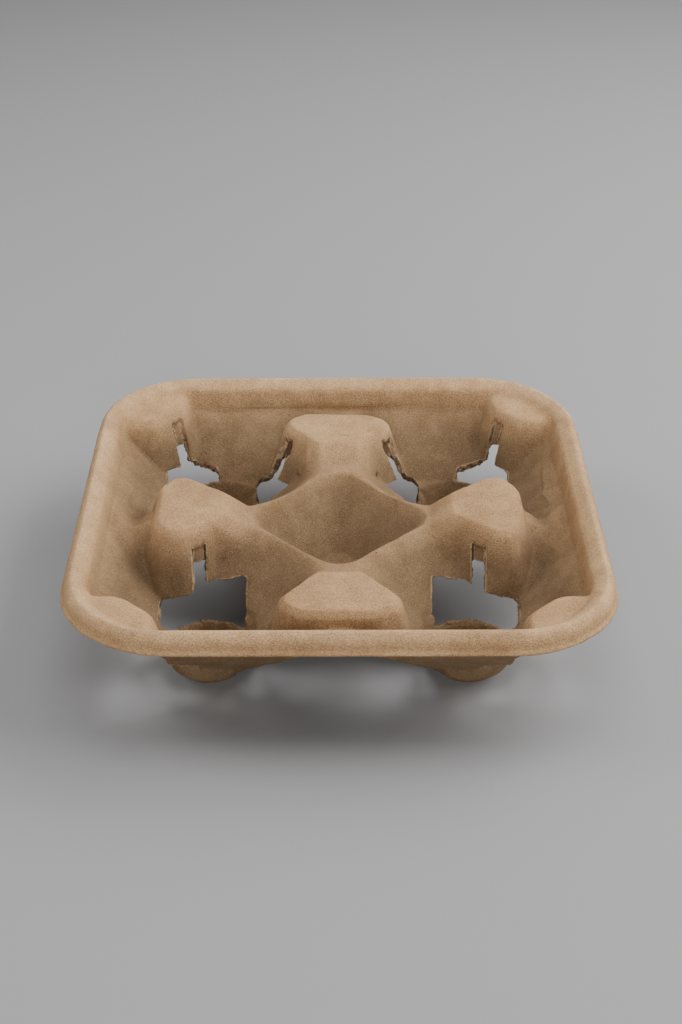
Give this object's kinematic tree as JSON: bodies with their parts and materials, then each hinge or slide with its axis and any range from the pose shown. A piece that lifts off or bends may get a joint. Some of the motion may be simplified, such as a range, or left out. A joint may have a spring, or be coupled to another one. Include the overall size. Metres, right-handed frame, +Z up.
{
  "type": "cup carrier",
  "caption": "Square tray of moulded fibre with round tapered wells for drinks cups, raised posts between them and slotted corner grips.",
  "frame": {"origin": "on the ground under the middle of the tray, at the underside of the feet", "axes": "+Z up, +X to the right and +Y to the back as the tray lies in the picture"},
  "size_m": [0.216, 0.216, 0.053],
  "materials": {
    "fibre": "matte rough moulded fibre"
  },
  "bodies": {
    "root": {"cup_carrier": "fibre"}
  },
  "joints": []
}
